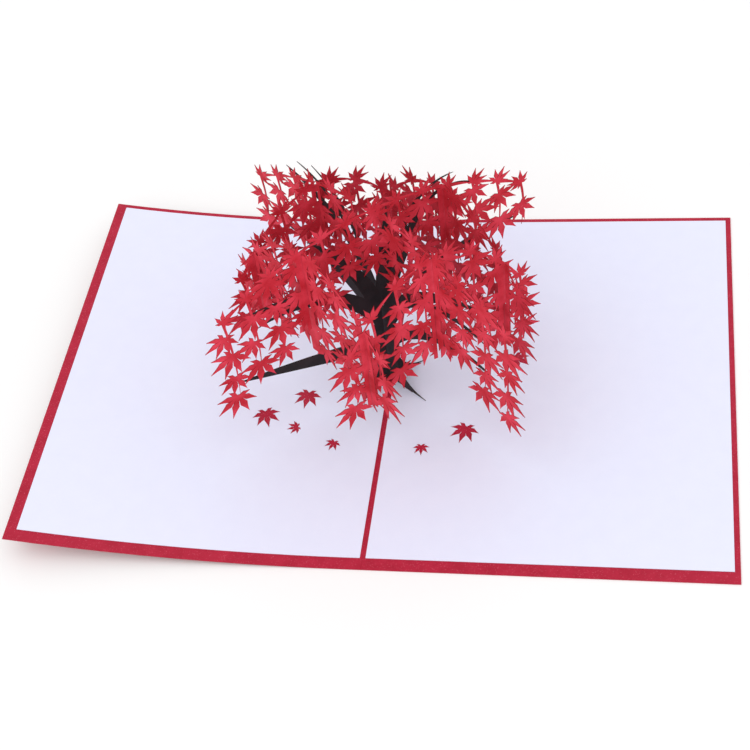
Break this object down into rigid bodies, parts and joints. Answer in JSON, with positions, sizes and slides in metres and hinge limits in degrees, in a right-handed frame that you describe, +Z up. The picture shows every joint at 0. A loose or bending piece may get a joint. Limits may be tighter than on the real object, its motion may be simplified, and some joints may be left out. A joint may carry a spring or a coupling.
{
  "type": "pop up card",
  "caption": "Open greeting card with a folded crimson cover, white glued pages with leaf cut-outs and a pop-up maple tree of slotted black and red paper sheets.",
  "frame": {"origin": "On the surface that the card lies on, at the middle of the fold.", "axes": "+X runs from the fold over the flat right panel, +Y to the back edge, +Z up through the tree."},
  "size_m": [0.2992, 0.2, 0.111],
  "materials": {
    "cover_card": "pearlescent",
    "page_paper": "matte",
    "trunk_card": "matte",
    "leaf_card": "matte"
  },
  "bodies": {
    "root": {"cover": "cover_card", "left_page": "page_paper", "right_page": "page_paper", "rising_trunk": "trunk_card", "falling_trunk": "trunk_card", "front_left_leaves": "leaf_card", "front_right_leaves": "leaf_card", "back_left_leaves": "leaf_card", "back_right_leaves": "leaf_card", "crown_leaves": "leaf_card", "left_arm_leaves": "leaf_card", "right_arm_leaves": "leaf_card"}
  },
  "joints": []
}
